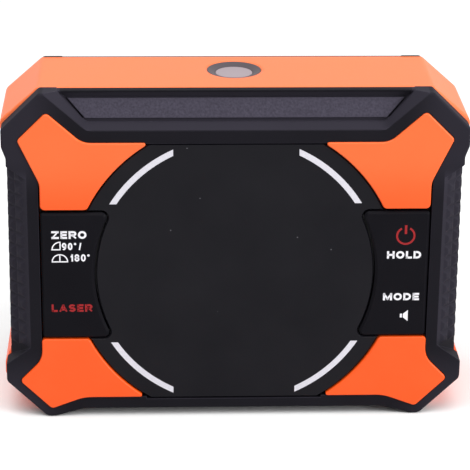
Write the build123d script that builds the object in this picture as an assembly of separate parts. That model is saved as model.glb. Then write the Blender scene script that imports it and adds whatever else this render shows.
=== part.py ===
"""Hand-held digital level with a laser: an orange case between two black frames.

Front views are drawn about the centre of the dial, X to the right and Z up.
Depth is measured backwards from the face of the front frame.
The part stands on its aluminium base, with its origin under the middle of the case.
"""

import os
from math import atan2, cos, hypot, sin

from build123d import *

os.makedirs("parts", exist_ok=True)

# Overall size
DIAL_UP = 33.5          # dial centre above the surface that the level stands on
DEPTH = 31.0            # front frame's face to rear cover's face
PAD_PROUD = 0.35        # the orange pads stand in front of the frame
FRAME_DEEP = 4.6        # front frame
REAR_DEEP = 4.4         # rear cover's edge
SEAM = 0.1              # gap between the case and each frame
CASE_INSET = 0.15       # the case lies this far inside the frames' outline above and below
CASE_WALL = 2.2
CASE_CHAMFER = 0.25

# Outline of the frames, right half, from the top corner to the bottom, with corner radii
TOP = 40.3
FOOT = -DIAL_UP
BELLY = -31.7
SHOULDER_X, WAIST_X, HIP_X = 48.9, 48.0, 49.2
LOW_WAIST_X = WAIST_X + 0.3
OUTLINE = [
    ((40.9, TOP), 1.0), ((SHOULDER_X, 32.4), 0.8), ((SHOULDER_X, 28.6), 1.5),
    ((WAIST_X, 26.1), 2.0), ((LOW_WAIST_X, -18.4), 1.5), ((HIP_X, -21.1), 1.0),
    ((HIP_X, -25.0), 1.5), ((40.6, FOOT), 2.4), ((38.9, FOOT), 4.0), ((32.4, BELLY), 5.0),
]

# Outline of the case: it stands out of the frames at the shoulders and the hips
CASE_TOP, CASE_FOOT = TOP - CASE_INSET, FOOT + CASE_INSET
BULGE_X = 49.7
CASE_OUTLINE = [
    ((41.3, CASE_TOP), 1.0), ((BULGE_X + 0.1, 32.6), 2.2), ((SHOULDER_X - 0.3, 29.8), 1.5),
    ((WAIST_X - 0.3, 24.6), 2.0), ((LOW_WAIST_X - 0.3, -18.2), 1.5), ((BULGE_X, -22.4), 1.2),
    ((BULGE_X, -25.4), 1.5), ((40.5, CASE_FOOT), 1.0), ((38.8, CASE_FOOT), 2.0),
    ((32.35, BELLY + CASE_INSET), 3.0),
]

# Dial, window and keys
ARC_R, ARC_WIDE = 31.0, 1.26
ARC_FROM_X, ARC_FROM_Z = 13.18, 15.94
WINDOW_R, WINDOW_HALF_TALL = 34.4, 29.25
WINDOW_FACE, WINDOW_THICK, WINDOW_BEVEL = 0.2, 1.5, 0.25
KEY_CUT_R, KEY_GAP = 30.64, 0.32
KEY_ARC_X = -1.1        # centre of the right key's hollow side, across the dial
KEY_IN_R = KEY_CUT_R + KEY_GAP
KEY_OUT_X, KEY_LOW, KEY_HIGH, KEY_BACK = 41.15, -14.62, 14.08, 2.1
KEY_FACE = -PAD_PROUD   # the keys stand in front of the frame as far as the pads
KEY_AXIS_DEEP, KEY_PIN_R = 3.4, 0.8
KEY_X = 36.0
KEY_FALL, KEY_FALL_END = 0.15, 14.7
KEY_BEVEL, KEY_CORNER_R, KEY_OUT_CORNER_R = 0.6, 1.2, 0.7
KEY_PIN_HALF, PIN_PLAY = 4.5, 0.06
KEY_WEB_HALF_X, KEY_WEB_HALF_Z = 2.9, 1.1
STEM_UP, STEM_R, STEM_END = 9.0, 1.3, 7.45
STEM_HOLE_R = 2.0

# Pads, right half, with corner radii; their inner side is an arc about the dial
PAD_R = 34.62
PAD_EDGE = 0.35
PAD_TIP_R, PAD_HEEL_R = 0.4, 1.0
UPPER_PAD = [
    ((12.0, 29.6), 0.5), ((32.0, 29.6), 4.5), ((39.45, 36.3), 1.0), ((45.55, 30.2), 0.9),
    ((41.1, 20.6), 5.0), ((41.1, 14.75), 1.0), ((26.0, 14.75), 0.5),
]
LOWER_PAD = [
    ((12.0, -28.85), 0.5), ((32.6, -28.85), 9.0), ((39.6, -31.5), 1.0), ((46.35, -24.8), 0.9),
    ((41.4, -19.7), 5.0), ((41.4, -14.95), 0.7), ((26.0, -14.95), 0.5),
]

# Opening of the front frame: level above and below, a little taller over the window's flats
OPENING_UP, OPENING_MID_X, OPENING_MID_UP = 28.9, 19.0, 29.4
OPENING_PLAY, PAD_PLAY = 0.3, 0.12
PLATEAU_PLAY = 0.15     # the case's raised front lies this far inside the opening
PAD_WALL, PAD_HOLLOW = 1.7, 1.6         # side wall of a pad, and where its hollow starts

# Levels behind the front face
WALL_FACE = 2.6         # front wall of the case under the window and keys
CASE_FRONT = FRAME_DEEP + SEAM
CASE_BACK = DEPTH - REAR_DEEP - SEAM
WALL_BACK = 6.3
BOARD_FACE, BOARD_THICK = 8.9, 1.6
BOARD_BACK = BOARD_FACE + BOARD_THICK
LCD_HALF, LCD_OPENING_HALF, LCD_BACK = 21.7, 22.0, 4.9
BOSS_BACK = 24.5
COVER_SEAT = 29.2

# Frame details
EDGE_R = 0.5
GRIP_IN_X, GRIP_SLOPE_DEEP = 43.9, 4.2
GRIP_LOW, GRIP_HIGH = (42.0, -15.4), (43.9, 21.5)
GRIP_LOW_BEND, GRIP_LOW_END, GRIP_HIGH_END, GRIP_FAR = (45.2, -18.0), -24.3, 28.8, 54.0
KNOB_PITCH, KNOB_TALL, KNOB_ROOT = 2.9, 0.45, 0.4
KNOB_TIP, KNOB_CREASE = 1.1, 0.3        # width of a knob's flat tip, and gap between feet
KNOB_COLUMNS, KNOB_ROWS, KNOB_ROW_UP = 2, range(-6, 11), 1.6
KNOB_MARGIN = 0.9       # smooth strip between the grip's front edge and its first knobs
LEDGE_DEEP, GROOVE_BACK = 2.4, 3.9
RIM_UNDER, RIM_TOP, RIM_FRONT = 39.75, 40.15, 2.8

# Laser and top window
LASER_DEEP = 16.9
BEZEL_R, BEZEL_PLAY, DISC_R, DISC_DOWN = 5.7, 0.12, 4.0, 0.55
BEZEL_SEAT = CASE_TOP - 1.9
BARREL_R, BARREL_BORE_R = 4.5, 3.1
BARREL_LOW, BARREL_STEP, BARREL_HIGH = 18.5, 34.5, 36.4
LENS_R, LENS_LOW, LENS_RIM, LENS_DOME_R = 3.0, 33.2, 34.4, 5.5
LENS_DOME_UP = 29.8
DIODE_LOW, DIODE_FLANGE, DIODE_HIGH = 18.7, 19.9, 22.4
CRADLE_XS = (-10.5, 10.5)
CRADLE_TOP, CRADLE_TALL, CRADLE_WIDE, CRADLE_ACROSS = 29.9, 5.8, 27.0, 10.4
LEAD_X, LASER_PIN_END, LASER_LEAD_LOW = 1.2, 16.4, 10.4

# Cells and their bay
CELL_R, CELL_LONG, NUB_R, NUB_TALL = 5.25, 44.5, 1.9, 1.1
CELL_DEEP = 20.4
CELL_UPS = (0.6, -10.6)
BAY_UP, BAY_HALF_X, BAY_HALF_TALL = -5.0, 24.8, 11.4
BAY_WALL, BAY_FLOOR = 1.5, 14.9
DOOR_HALF_X, DOOR_HALF_TALL, DOOR_FACE = 29.0, 14.5, 30.4
DOOR_THICK, DOOR_SKIRT_END, DOOR_GAP = 1.6, 27.0, 0.3
DOOR_BACK = DOOR_FACE - DOOR_THICK
NOTCH_UP, NOTCH_R, NOTCH_DEEP = BAY_UP + DOOR_HALF_TALL + 3.0, 5.5, 0.9
RIB_HALF, RIB_PITCH, RIB_TOP, RIB_PROUD = 7.0, 1.6, BAY_UP + DOOR_HALF_TALL - 5.0, 0.3
COVER_THICK = 3.6
COVER_LEAN = 2.4        # the cover's sides lean in by this much towards its back face
COVER_DIP_X = (36.8, 37.8)      # half width of the dip in its top edge, below and above
COVER_DIP_UP = CASE_TOP - 0.1

# Base
BASE_HALF_X, BASE_THICK, BASE_PLAY = 31.0, 3.0, 0.15
BASE_FRONT, BASE_BACK = 4.9, 26.2
BASE_MID = (BASE_FRONT + BASE_BACK) / 2
BASE_TOP = FOOT + BASE_THICK
BASE_WALL_TOP, BASE_POST_TOP = -28.3, -25.0
BASE_SCREW_R, BASE_SCREW_HEAD_R, BASE_SCREW_LONG = 1.0, 2.4, 8.3
MAGNET_R, MAGNET_THICK = 4.0, 2.4
MAGNET_XS = (-18.75, 0.0, 18.75)
BASE_SCREW_XS = (-28.0, -9.5, 9.5, 28.0)

# Screw places, seen from the front
SIDES = (-1, 1)
CASE_BOSSES = [(s * x, z) for s in SIDES for x, z in ((41.2, 30.6), (42.2, -22.9))]
BOARD_POSTS = [(x, z) for x in (-30.0, 30.0) for z in (-24.0, 24.0)]
BOSS_R, BOARD_POST_R, SMALL_POST_R = 3.0, 2.3, 2.6
BOARD_POST_ROOT = 1.4
CASE_HOLE_END, BOARD_HOLE_END, TOP_HOLE_END = 11.0, 3.6, 36.0
CASE_SCREW = dict(head_r=2.3, head_tall=1.5, shank_r=1.0, long=15.0)
BOARD_SCREW = dict(head_r=1.8, head_tall=1.1, shank_r=0.75, long=5.5)
CRADLE_SCREW = dict(head_r=1.8, head_tall=1.1, shank_r=0.8, long=11.0)
THREAD_BITE = 0.05      # a tapped hole is this much wider than its screw

MID_DEPTH = (DEPTH - PAD_PROUD) / 2


def front_plane(depth):
    """The plane at a depth behind the front face, seen from the front, about the dial centre."""
    return Plane(origin=(0, depth - MID_DEPTH, DIAL_UP), x_dir=(1, 0, 0), z_dir=(0, -1, 0))


def slab(view, near, far):
    """A front view, extruded from one depth to another."""
    return extrude(front_plane(far) * view, far - near)


def level_plane(up):
    """The horizontal plane at a height above the dial centre."""
    return Plane(origin=(0, -MID_DEPTH, DIAL_UP + up), x_dir=(1, 0, 0), z_dir=(0, 0, 1))


def tower(plan, low, high):
    """A plan of X and depth, extruded from one height to another above the dial centre."""
    return extrude(level_plane(low) * plan, high - low)


def bar(profile, half_long):
    """A side view of depth and height, extruded along X on both sides of the middle."""
    side = Plane(origin=(0, -MID_DEPTH, DIAL_UP), x_dir=(0, 1, 0), z_dir=(1, 0, 0))
    return extrude(side * profile, half_long, both=True)


def polygon(points):
    return make_face(Polyline(*points, close=True))


def rounded(corners):
    """A closed outline from corners, each with its own radius."""
    points = [point for point, _ in corners]
    return make_face(FilletPolyline(*points, radius=[r for _, r in corners], close=True))


def both_sides(corners):
    """Close a right-hand outline with its mirror image."""
    return corners + [((-x, z), r) for (x, z), r in reversed(corners)]


def rect(x0, z0, x1, z1):
    return Pos((x0 + x1) / 2, (z0 + z1) / 2) * Rectangle(abs(x1 - x0), abs(z1 - z0))


def disc_at(x, z, radius):
    return Pos(x, z) * Circle(radius)


def round_near(view, point, radius):
    """Round the corner of a flat view that lies nearest to a point."""
    corner = min(view.vertices(), key=lambda v: hypot(v.X - point[0], v.Y - point[1]))
    return fillet(corner, radius)


def front_edges(solid):
    return solid.faces().sort_by(Axis.Y)[0].outer_wire().edges()


# Flat views

def inset(corners, amount):
    """Move every side of a clockwise outline inwards, and let its corner radii follow."""
    moved = []
    for i, (point, radius) in enumerate(corners):
        here = Vector(*point)
        before = (here - Vector(*corners[i - 1][0])).normalized()
        after = (Vector(*corners[(i + 1) % len(corners)][0]) - here).normalized()
        normals = [Vector(way.Y, -way.X) for way in (before, after)]
        shift = (normals[0] + normals[1]) * (amount / (1 + normals[0].dot(normals[1])))
        hollow = before.X * after.Y - before.Y * after.X > 0
        new_radius = radius + amount if hollow else max(radius - amount, 0.4)
        moved.append(((here.X + shift.X, here.Y + shift.Y), new_radius))
    return moved


def cavity_view(gap):
    """The room inside the case, less a gap all round."""
    room = rounded(inset(both_sides(OUTLINE), CASE_INSET + CASE_WALL + gap))
    return room & rect(-60, BASE_WALL_TOP + gap, 60, 60)


OUTER = rounded(both_sides(OUTLINE))
CASE_OUTER = rounded(both_sides(CASE_OUTLINE))


def pad_view(corners):
    """One pad on the right: its corners, hollowed by the arc about the dial."""
    view = rounded(corners) - Circle(PAD_R)
    top_z, heel_z = corners[0][0][1], corners[-1][0][1]
    tip_x = (PAD_R**2 - top_z**2) ** 0.5
    heel_x = (PAD_R**2 - heel_z**2) ** 0.5
    view = round_near(view, (tip_x, top_z), PAD_TIP_R)
    return round_near(view, (heel_x, heel_z), PAD_HEEL_R)


RIGHT_PADS = [pad_view(UPPER_PAD), pad_view(LOWER_PAD)]
PADS = RIGHT_PADS + [mirror(pad, about=Plane.YZ) for pad in RIGHT_PADS]


def key_block(out_x, grow, in_r, corner_r):
    """A block on the right with a hollow side towards the dial, round at its inner corners."""
    low, high = KEY_LOW - grow, KEY_HIGH + grow
    view = rect(20, low, out_x, high) - disc_at(KEY_ARC_X, 0, in_r)
    for z in (low, high):
        inner_x = KEY_ARC_X + (in_r**2 - z**2) ** 0.5
        view = round_near(view, (inner_x, z), corner_r)
    return view


def window_view():
    """A disc cut flat above and below, with room for a key at each side."""
    view = Circle(WINDOW_R) & rect(-40, -WINDOW_HALF_TALL, 40, WINDOW_HALF_TALL)
    room = key_block(45, KEY_GAP, KEY_CUT_R, KEY_CORNER_R + KEY_GAP)
    return view - room - mirror(room, about=Plane.YZ)


def key_view():
    """The right key, seen from the front."""
    view = key_block(KEY_OUT_X, 0, KEY_IN_R, KEY_CORNER_R)
    for z in (KEY_LOW, KEY_HIGH):
        view = round_near(view, (KEY_OUT_X, z), KEY_OUT_CORNER_R)
    return view


def opening_view():
    """The hole in the front frame: keys, window and pads with a hair of room."""
    half_x = KEY_OUT_X + OPENING_PLAY
    view = rect(-half_x, -OPENING_UP, half_x, OPENING_UP)
    view += rect(-OPENING_MID_X, -OPENING_MID_UP, OPENING_MID_X, OPENING_MID_UP)
    for pad in PADS:
        view += offset(pad, PAD_PLAY)
    return view


WINDOW = window_view()
OPENING = opening_view()


# Frames

RECESS_FACE = [((31.1, 32.2), 4.0), ((42.4, 42.3), 0.3)]
RECESS_FLOOR = [((31.2, 33.5), 1.5), ((39.12, 42.3), 0.3)]
PANEL_LOW, PANEL_HIGH = (31.4, 34.3), (35.1, 38.4)
PANEL_FRONT_LOW, PANEL_FRONT_HIGH = 2.2, 3.3
BEVEL_DEEP = 2.0


def grip_panel():
    """The top panel: a trapezium whose face leans back."""
    (low_x, low_z), (high_x, high_z) = PANEL_LOW, PANEL_HIGH
    view = polygon([(low_x, low_z), (high_x, high_z), (-high_x, high_z), (-low_x, low_z)])
    lean = polygon([
        (PANEL_FRONT_LOW, low_z), (PANEL_FRONT_HIGH, high_z),
        (FRAME_DEEP, high_z), (FRAME_DEEP, low_z),
    ])
    return slab(view, 1.0, GROOVE_BACK + 0.2) & bar(lean, 40)


def top_recess():
    """What is cut from the front frame's top bar: a wide bevel, a ledge, and a groove
    round the panel that runs under the rim."""
    face, floor = rounded(both_sides(RECESS_FACE)), rounded(both_sides(RECESS_FLOOR))
    bevel = loft([front_plane(0) * face, front_plane(BEVEL_DEEP) * floor], ruled=True)
    cut = slab(face, -1, 0) + bevel + slab(floor, BEVEL_DEEP, LEDGE_DEEP)
    floor = floor & rect(-60, PANEL_LOW[1], 60, 60)
    cut += slab(floor, LEDGE_DEEP, RIM_FRONT)
    cut += slab(floor - rect(-60, RIM_UNDER, 60, 60), RIM_FRONT, GROOVE_BACK)
    return cut + slab(floor & rect(-60, RIM_TOP, 60, 60), RIM_FRONT, FRAME_DEEP + 1)


def grip_region():
    """Front view of the right side grip, with slanting ends."""
    return polygon([
        GRIP_LOW, GRIP_LOW_BEND, (GRIP_FAR, GRIP_LOW_END), (GRIP_FAR, GRIP_HIGH_END), GRIP_HIGH,
        (GRIP_LOW[0], GRIP_HIGH[1]),
    ])


def grip_wedge():
    """The space outside the sloping face of the right side grip."""
    slope = (WAIST_X - GRIP_IN_X) / GRIP_SLOPE_DEEP
    far = GRIP_FAR
    plan = polygon([(GRIP_IN_X - slope, -1), (far, -1), (far, (far - GRIP_IN_X) / slope)])
    return tower(plan, -30, 45) & slab(grip_region(), -1, FRAME_DEEP + 1)


def knob_field():
    """Rows of four-sided knobs in two columns on the sloping face of the right grip."""
    along = atan2(GRIP_SLOPE_DEEP, WAIST_X - GRIP_IN_X)
    knobs = []
    for column in range(KNOB_COLUMNS):
        reach = KNOB_MARGIN + (column + 0.5) * KNOB_PITCH
        out = GRIP_IN_X + reach * cos(along) - KNOB_ROOT * sin(along)
        deep = reach * sin(along) + KNOB_ROOT * cos(along)
        for row in KNOB_ROWS:
            foot = Plane(
                origin=(out, deep - MID_DEPTH, DIAL_UP + KNOB_ROW_UP + row * KNOB_PITCH),
                x_dir=(cos(along), sin(along), 0), z_dir=(sin(along), -cos(along), 0),
            )
            knobs.append(knob(foot))
    return knobs


def knob(foot):
    """One knob: a square root that sinks into the grip, and a low pyramid with a flat tip."""
    wide = KNOB_PITCH - KNOB_CREASE
    root = extrude(foot * Rectangle(wide, wide), KNOB_ROOT)
    tip = foot.offset(KNOB_ROOT + KNOB_TALL) * Rectangle(KNOB_TIP, KNOB_TIP)
    return root + loft([foot.offset(KNOB_ROOT) * Rectangle(wide, wide), tip], ruled=True)


def with_grips(body, deep):
    """Cut the sloping grips at both sides of a frame of this depth, and set their knobs."""
    wedge = grip_wedge()
    knobs = Compound(children=knob_field()) & slab(grip_region() & OUTER, -1, deep)
    body = body - wedge + knobs
    return body - mirror(wedge, about=Plane.YZ) + mirror(knobs, about=Plane.YZ)


def front_bumper():
    """The front frame: outline, top recess, panel, grips and opening."""
    body = slab(OUTER, 0, FRAME_DEEP)
    body = fillet(front_edges(body), EDGE_R)
    body -= top_recess()
    body += grip_panel() & slab(OUTER, 0, FRAME_DEEP)
    return with_grips(body, FRAME_DEEP) - slab(OPENING, -1, FRAME_DEEP + 1)


def leaning_frame():
    """The rear cover's block, drawn as if it faced forwards: its sides lean in."""
    small = rounded(inset(both_sides(OUTLINE), COVER_LEAN))
    body = loft([front_plane(0) * small, front_plane(REAR_DEEP) * OUTER], ruled=True)
    body = fillet(front_edges(body), EDGE_R)
    low_x, high_x = COVER_DIP_X
    dip = polygon([
        (-low_x, COVER_DIP_UP), (low_x, COVER_DIP_UP), (high_x, TOP + 1), (-high_x, TOP + 1),
    ])
    return with_grips(body - slab(dip, -1, REAR_DEEP + 1), REAR_DEEP)


def mid_plane():
    """Halfway between the front frame's face and the rear cover's face."""
    return Plane(origin=(0, DEPTH / 2 - MID_DEPTH, 0), z_dir=(0, 1, 0))


# Case

def pad_solid(pad):
    body = slab(pad, -PAD_PROUD, CASE_FRONT)
    return fillet(front_edges(body), PAD_EDGE)


def key_seat(side):
    """The holes in the case wall for one key: pin groove, slot and two stem holes."""
    x, pin, long = side * KEY_X, KEY_PIN_R + PIN_PLAY, KEY_PIN_HALF + 0.2
    seat = slab(rect(x - long, -pin, x + long, pin), WALL_FACE - 1, KEY_AXIS_DEEP)
    seat += bar(Pos(KEY_AXIS_DEEP, 0) * Circle(pin), long).moved(Location((x, 0, 0)))
    web_x, web_z = KEY_WEB_HALF_X + 0.4, KEY_WEB_HALF_Z + 0.7
    seat += slab(rect(x - web_x, -web_z, x + web_x, web_z), WALL_FACE - 1, WALL_BACK + 1)
    for z in (-STEM_UP, STEM_UP):
        seat += slab(disc_at(x, z, STEM_HOLE_R), WALL_FACE - 1, WALL_BACK + 1)
    return seat


def case():
    """Orange tub: a band, the front wall and four hollow pads."""
    body = slab(CASE_OUTER, CASE_FRONT, CASE_BACK)
    ends = body.faces().filter_by(Axis.Y).edges()
    body = chamfer(ends, CASE_CHAMFER)
    body -= slab(cavity_view(0), WALL_BACK, CASE_BACK + 1)
    body += slab(offset(OPENING, -PLATEAU_PLAY), WALL_FACE, CASE_FRONT)
    for pad in PADS:
        body += pad_solid(pad)
    for pad in PADS:
        body -= slab(offset(pad, -PAD_WALL), PAD_HOLLOW, WALL_BACK + 1)
    half = LCD_OPENING_HALF
    body -= slab(rect(-half, -half, half, half), WALL_FACE - 1, WALL_BACK + 1)
    for side in SIDES:
        body -= key_seat(side)
    body += case_posts()
    body -= case_holes()
    return body


def case_posts():
    """Screw posts: for the rear cover, the board, the laser cradle and the base."""
    posts = [slab(disc_at(x, z, BOSS_R) & CASE_OUTER, WALL_BACK - 1, BOSS_BACK)
             for x, z in CASE_BOSSES]
    posts += [slab(disc_at(x, z, BOARD_POST_R), BOARD_POST_ROOT, BOARD_FACE) for x, z in BOARD_POSTS]
    posts += [tower(disc_at(x, LASER_DEEP, SMALL_POST_R), CRADLE_TOP + 0.05, CASE_TOP - 1.5)
              for x in CRADLE_XS]
    posts += [tower(disc_at(x, BASE_MID, SMALL_POST_R), BASE_WALL_TOP - 1, BASE_POST_TOP)
              for x in BASE_SCREW_XS]
    return posts


def case_holes():
    """Everything that is bored or cut through the case and its posts."""
    case_r, board_r, cradle_r = (sizes["shank_r"] + THREAD_BITE
                                 for sizes in (CASE_SCREW, BOARD_SCREW, CRADLE_SCREW))
    holes = [slab(disc_at(x, z, case_r), CASE_HOLE_END, CASE_BACK + 1) for x, z in CASE_BOSSES]
    holes += [slab(disc_at(x, z, board_r), BOARD_HOLE_END, BOARD_FACE + 1) for x, z in BOARD_POSTS]
    holes += [tower(disc_at(x, LASER_DEEP, cradle_r), CRADLE_TOP - 1, TOP_HOLE_END)
              for x in CRADLE_XS]
    holes += [tower(disc_at(x, BASE_MID, BASE_SCREW_R + THREAD_BITE), FOOT - 1, BASE_POST_TOP + 1)
              for x in BASE_SCREW_XS]
    holes.append(tower(disc_at(0, LASER_DEEP, BEZEL_R + BEZEL_PLAY), TOP_HOLE_END, TOP + 1))
    half = BASE_HALF_X + BASE_PLAY
    holes.append(slab(rect(-half, FOOT - 1, half, BASE_TOP), CASE_FRONT - 1, CASE_BACK + 1))
    return holes


# Rear cover and battery door

def bay_view(grow):
    """Rear view of the battery bay, grown all round."""
    half_x, half_z = BAY_HALF_X + grow, BAY_HALF_TALL + grow
    return rect(-half_x, BAY_UP - half_z, half_x, BAY_UP + half_z)


def door_view(grow):
    """Rear view of the battery door, grown all round."""
    half_x, half_z = DOOR_HALF_X + grow, DOOR_HALF_TALL + grow
    return Pos(0, BAY_UP) * RectangleRounded(2 * half_x, 2 * half_z, 2.0 + grow)


REAR_PANEL = Pos(0, 1) * RectangleRounded(76, 56, 4)
LIP_INSIDE = rect(-43.9, BASE_WALL_TOP + 1.35, 43.9, 36.3)
REAR_HOLLOW = rect(-43, -26.0, 43, 31)
SCREW_HOLE_R, HEAD_HOLE_R = 1.3, 2.6
LIP_PLAY, LIP_TALL, LIP_BOSS_PLAY, CORE_BOSS_PLAY = 0.15, 1.8, 0.35, 0.6
SKIRT_PLAY, SKIRT_THICK = 0.4, 1.2


def rear_cover():
    """Black rear shell with the battery bay moulded into it."""
    body = mirror(leaning_frame(), about=mid_plane())
    body -= slab(REAR_PANEL, DOOR_FACE, DEPTH + 1)
    lip = cavity_view(LIP_PLAY) - LIP_INSIDE
    core = REAR_HOLLOW - bay_view(BAY_WALL)
    for x, z in CASE_BOSSES:
        lip -= disc_at(x, z, BOSS_R + LIP_BOSS_PLAY)
        core -= disc_at(x, z, BOSS_R + CORE_BOSS_PLAY)
    body -= slab(core, CASE_BACK - 1, DEPTH - COVER_THICK)
    body += slab(lip, CASE_BACK - LIP_TALL, CASE_BACK + 1)
    body += slab(bay_view(BAY_WALL), BAY_FLOOR - BAY_WALL, DOOR_BACK - 0.1)
    body -= slab(bay_view(0), BAY_FLOOR, DEPTH + 1)
    body -= slab(door_view(DOOR_GAP), DOOR_BACK - 0.1, DEPTH + 1)
    for x, z in CASE_BOSSES:
        body -= slab(disc_at(x, z, SCREW_HOLE_R), CASE_BACK - 1, DEPTH + 1)
        body -= slab(disc_at(x, z, HEAD_HOLE_R), COVER_SEAT, DEPTH + 1)
    return body


def battery_door():
    """A plate with a skirt that plugs into the bay, a finger notch and grip ribs."""
    body = slab(door_view(0), DOOR_BACK, DOOR_FACE)
    body = chamfer(body.faces().sort_by(Axis.Y)[-1].outer_wire().edges(), 0.25)
    skirt = bay_view(-SKIRT_PLAY) - bay_view(-SKIRT_PLAY - SKIRT_THICK)
    body += slab(skirt, DOOR_SKIRT_END, DOOR_BACK)
    body -= slab(disc_at(0, NOTCH_UP, NOTCH_R), DOOR_FACE - NOTCH_DEEP, DOOR_FACE + 1)
    for i in range(5):
        z = RIB_TOP - RIB_PITCH * i
        rib = rect(-RIB_HALF, z - RIB_PITCH / 4, RIB_HALF, z + RIB_PITCH / 4)
        body += slab(rib, DOOR_FACE - 0.2, DOOR_FACE + RIB_PROUD)
    return body


# Screws

def screw(head_r, head_tall, shank_r, long):
    """A pan-head screw that points along +Z, its head's seat at the origin, with a cross slot."""
    head = Cylinder(head_r, head_tall, align=(Align.CENTER, Align.CENTER, Align.MAX))
    head = fillet(head.edges().sort_by(Axis.Z)[0], 0.25 * head_tall)
    shank = Cylinder(shank_r, long, align=(Align.CENTER, Align.CENTER, Align.MIN))
    body = head + chamfer(shank.edges().sort_by(Axis.Z)[-1], 0.3)
    for turn in (0, 90):
        body -= Pos(0, 0, -head_tall) * Rot(0, 0, turn) * Box(1.3 * head_r, 0.3 * head_r, head_tall)
    return body


def screws_into_case(places, seat, sizes):
    """Screws that point forwards, with their heads' seats at one depth."""
    return [Plane(origin=(x, seat - MID_DEPTH, DIAL_UP + z), z_dir=(0, -1, 0)) * screw(**sizes)
            for x, z in places]


def case_screws():
    return screws_into_case(CASE_BOSSES, COVER_SEAT, CASE_SCREW)


def board_screws():
    return screws_into_case(BOARD_POSTS, BOARD_BACK, BOARD_SCREW)


def cradle_screws():
    seat = level_plane(CRADLE_TOP - CRADLE_TALL)
    return [seat * Pos(x, LASER_DEEP) * screw(**CRADLE_SCREW) for x in CRADLE_XS]


def base_screws():
    """Countersunk screws, a hair below the base's face."""
    head_r, shank_r, long = BASE_SCREW_HEAD_R, BASE_SCREW_R, BASE_SCREW_LONG
    profile = polygon([
        (0, 0), (head_r, 0), (shank_r, head_r - shank_r), (shank_r, long - 0.3),
        (shank_r - 0.3, long), (0, long),
    ])
    body = revolve(Plane.XZ * profile, Axis.Z)
    for turn in (0, 90):
        body -= Rot(0, 0, turn) * Box(3.0, 0.6, 1.2)
    return [level_plane(FOOT + 0.1) * Pos(x, BASE_MID) * body for x in BASE_SCREW_XS]


# Window and keys

ARCS = Circle(ARC_R) - Circle(ARC_R - ARC_WIDE)
ARCS -= rect(-ARC_FROM_X, -40, ARC_FROM_X, 40) + rect(-40, -ARC_FROM_Z, 40, ARC_FROM_Z)


def display_window():
    body = slab(WINDOW, WINDOW_FACE, WINDOW_FACE + WINDOW_THICK)
    body = chamfer(front_edges(body), WINDOW_BEVEL)
    return body - slab(ARCS, 0, WINDOW_FACE + 0.25)


def dial_arcs():
    """Four white arcs let into the window, a hair proud of it."""
    return slab(ARCS, WINDOW_FACE - 0.03, WINDOW_FACE + 0.25)


def window_gasket():
    """The black sheet between the window and the case, with a square hole for the display."""
    half = LCD_HALF - 1.2
    return slab(offset(WINDOW, -0.6) - rect(-half, -half, half, half),
                WINDOW_FACE + WINDOW_THICK, WALL_FACE)


def right_key():
    """A rocker: two halves that fall away from a faint ridge, a hinge pin and two stems."""
    body = slab(key_view(), KEY_FACE, KEY_BACK)
    body = chamfer(front_edges(body), KEY_BEVEL)
    fallen, end = KEY_FACE + KEY_FALL, KEY_FALL_END
    ridge = polygon([
        (KEY_FACE, 0), (fallen, end), (KEY_BACK, end), (KEY_BACK, -end), (fallen, -end),
    ])
    body &= bar(ridge, 60)
    half_x, half_z = KEY_WEB_HALF_X, KEY_WEB_HALF_Z
    body += slab(rect(KEY_X - half_x, -half_z, KEY_X + half_x, half_z), KEY_BACK, KEY_AXIS_DEEP)
    pin = bar(Pos(KEY_AXIS_DEEP, 0) * Circle(KEY_PIN_R), KEY_PIN_HALF)
    body += pin.moved(Location((KEY_X, 0, 0)))
    for z in (-STEM_UP, STEM_UP):
        body += slab(disc_at(KEY_X, z, STEM_R), KEY_BACK, STEM_END)
    return body


# Display and board

STRIP_HALF, STRIP_IN, STRIP_OUT, STRIP_GAP = 19.0, 19.1, 21.0, 0.2
LCD_FLANGE_HALF = 24.0


def lcd_panel():
    half = LCD_HALF
    return slab(rect(-half, -half, half, half), WALL_FACE + 0.3, LCD_BACK)


def lcd_frame():
    """White light guide behind the display, with a slot above and below for the contact strips."""
    neck, flange, half = LCD_HALF - 0.3, LCD_FLANGE_HALF, STRIP_HALF + STRIP_GAP
    body = slab(rect(-neck, -neck, neck, neck), LCD_BACK, WALL_BACK)
    body += slab(rect(-flange, -flange, flange, flange), WALL_BACK, BOARD_FACE)
    for side in SIDES:
        slot = rect(-half, side * (STRIP_IN - STRIP_GAP), half, side * (STRIP_OUT + STRIP_GAP))
        body -= slab(slot, LCD_BACK - 1, BOARD_FACE + 1)
    return body


def contact_strips():
    """Rubber strips that join the display to the board."""
    return [slab(rect(-STRIP_HALF, side * STRIP_IN, STRIP_HALF, side * STRIP_OUT),
                 LCD_BACK, BOARD_FACE) for side in SIDES]


BOARD_WIDE, BOARD_TALL, BOARD_MID_UP = 76.4, 51.0, 0.5
CHIP_AT, BUZZER_AT = (16.0, 15.0), (-22.0, 15.0)


def main_board():
    """The circuit board, with a hole for each of its four screws."""
    view = Pos(0, BOARD_MID_UP) * RectangleRounded(BOARD_WIDE, BOARD_TALL, 1.5)
    for x, z in BOARD_POSTS:
        view -= disc_at(x, z, 1.1)
    return slab(view, BOARD_FACE, BOARD_BACK)


def key_switches():
    """Four low switches under the keys' stems, drawn as if pressed."""
    places = [(s * KEY_X, z) for s in SIDES for z in (-STEM_UP, STEM_UP)]
    half, top = 2.2, BOARD_FACE - 0.9
    bodies = []
    for x, z in places:
        body = slab(rect(x - half, z - half, x + half, z + half), top, BOARD_FACE)
        bodies.append(body + slab(disc_at(x, z, 1.0), top - 0.2, top))
    return bodies


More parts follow.
